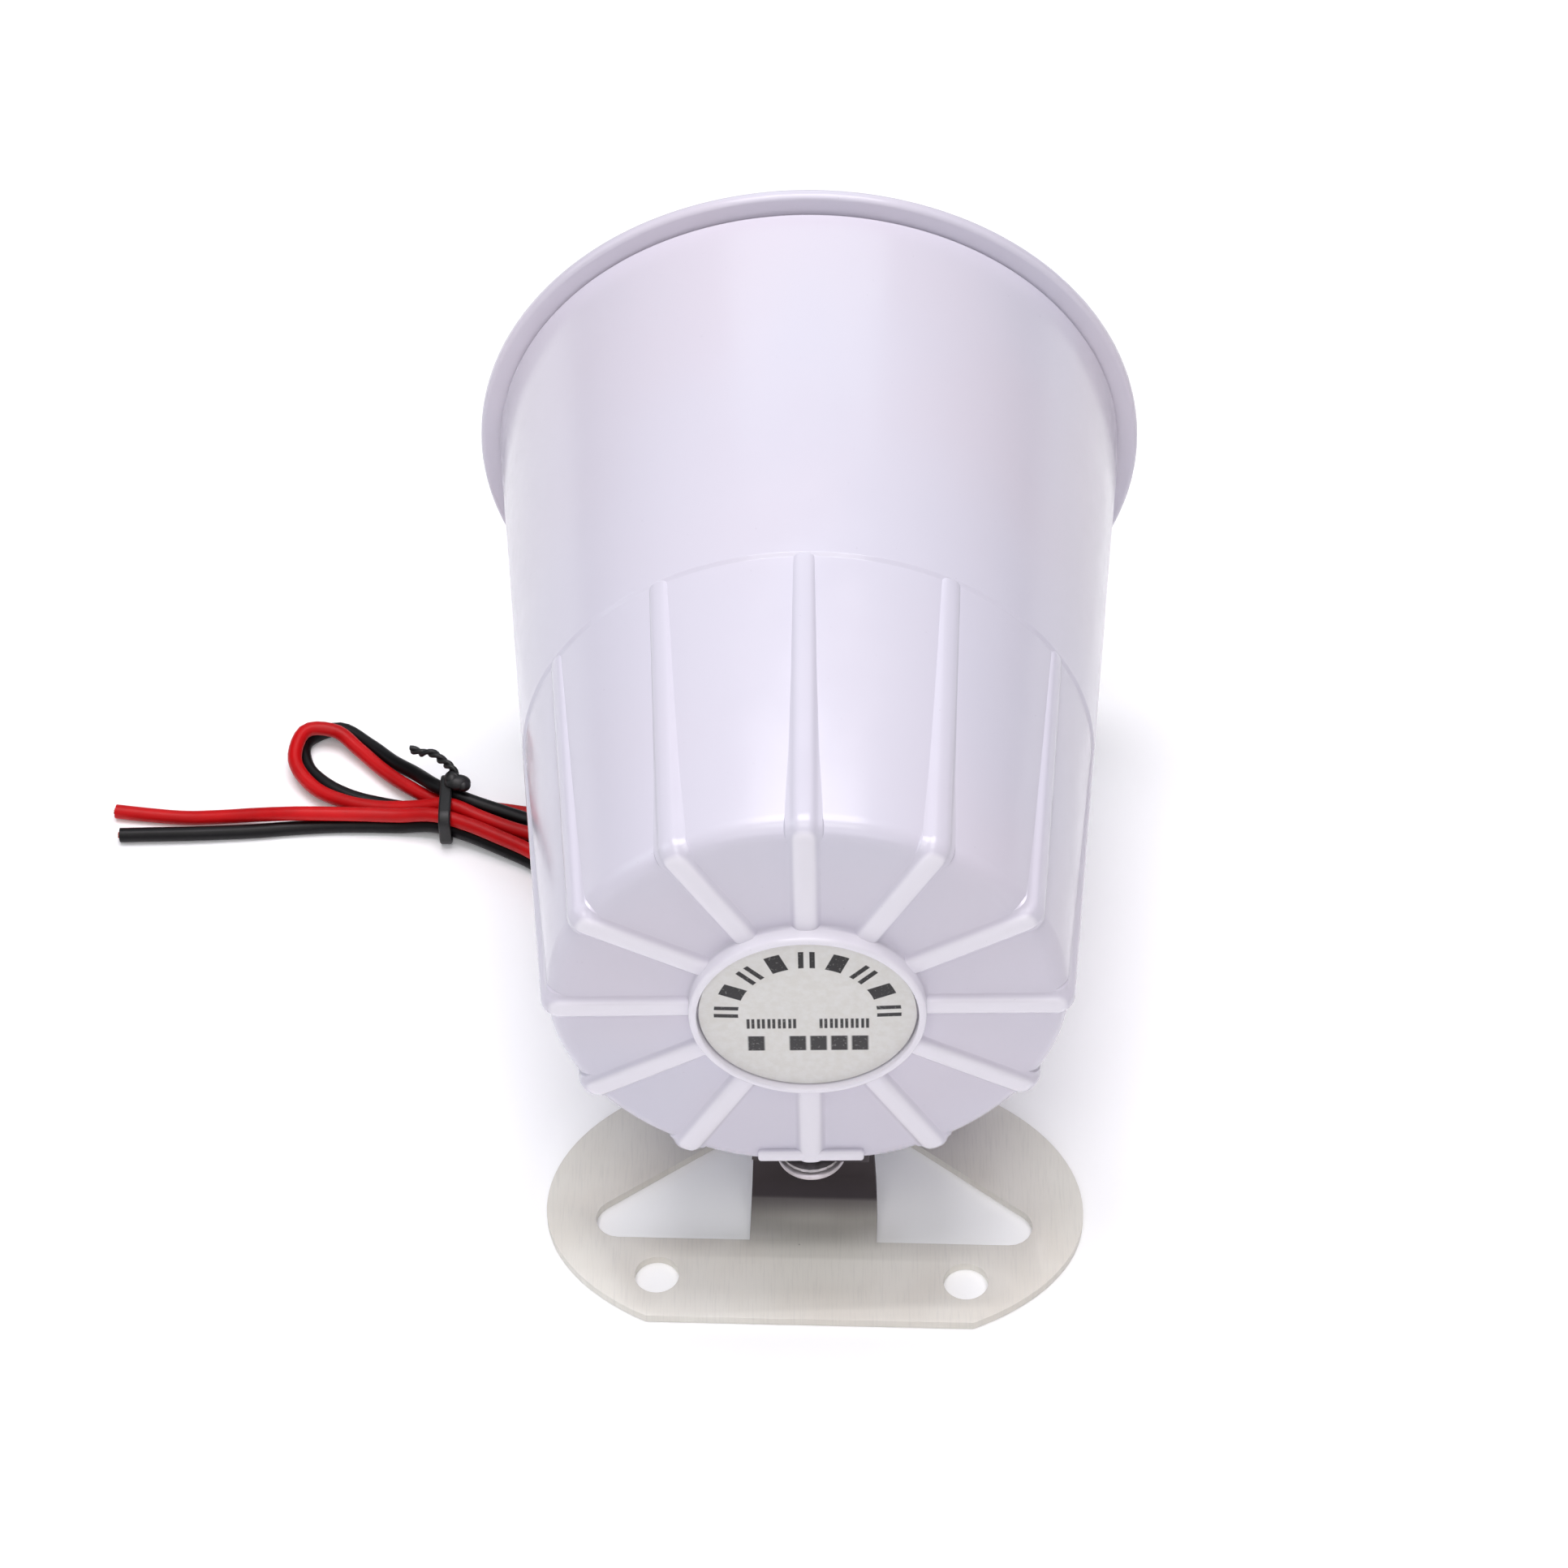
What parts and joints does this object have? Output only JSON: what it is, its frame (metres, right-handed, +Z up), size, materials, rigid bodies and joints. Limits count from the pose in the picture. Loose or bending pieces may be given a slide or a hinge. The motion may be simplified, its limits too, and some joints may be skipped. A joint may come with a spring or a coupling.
{
  "type": "alarm siren",
  "caption": "Re-entrant horn siren: ribbed tapered plastic housing that swivels on a stamped steel foot, with a tied two-wire lead.",
  "frame": {"origin": "on the underside of the foot, under the middle of the horn and in line with the two screw holes", "axes": "+Z up from the foot, +Y along the horn from its back plate to its mouth, +X to the right seen from behind"},
  "size_m": [0.1692, 0.1323, 0.1125],
  "materials": {
    "foot_steel": "warm light grey, semi-gloss",
    "zinc": "bright zinc plate",
    "white_abs": "glossy white with a faint lilac tint",
    "label_paper": "satin printed label, warm light grey",
    "black_epoxy": "moulded black resin",
    "soft_iron": "plated soft iron",
    "ferrite": "dull grey-black sintered ferrite",
    "copper": "bare copper",
    "brass": "bare brass",
    "film": "resin-soaked film, straw coloured",
    "board_green": "green solder mask",
    "black_rubber": "matt black rubber",
    "black_nylon": "black nylon",
    "red_pvc": "smooth red wire insulation",
    "black_pvc": "smooth black wire insulation"
  },
  "bodies": {
    "foot": {"bracket": "foot_steel", "swivel_screw": "zinc", "swivel_washer": "zinc"},
    "head": {"rear_housing": "white_abs", "horn_bell": "white_abs", "reflector": "white_abs", "label_disc": "label_paper", "driver_cover": "black_epoxy", "driver_spacer": "black_epoxy", "driver_yoke": "soft_iron", "top_plate": "soft_iron", "driver_magnet": "ferrite", "driver_screw_1": "zinc", "driver_screw_2": "zinc", "driver_screw_3": "zinc", "circuit_board": "board_green", "board_screw_1": "zinc", "board_screw_2": "zinc", "tone_chip": "black_epoxy", "power_transistor": "black_epoxy", "capacitor": "black_pvc", "choke": "ferrite", "coil_lead_1": "red_pvc", "coil_lead_2": "black_pvc", "swivel_nut": "brass", "lead_gland": "black_rubber", "red_wire": "red_pvc", "black_wire": "black_pvc", "red_core": "copper", "black_core": "copper", "cord_tie": "black_nylon"},
    "diaphragm": {"diaphragm": "film", "voice_coil": "copper"}
  },
  "joints": [
    {"name": "head_swivel", "type": "hinge", "parent": "foot", "child": "head", "pos_m": [0, 0.0086, 0.025], "axis": [0, 0, 1], "range_deg": [-90, 90]},
    {"name": "diaphragm_stroke", "type": "slide", "parent": "head", "child": "diaphragm", "axis": [0, 1, 0], "range_m": [-0.0004, 0.0004], "stiffness_N_per_m": 8000}
  ]
}
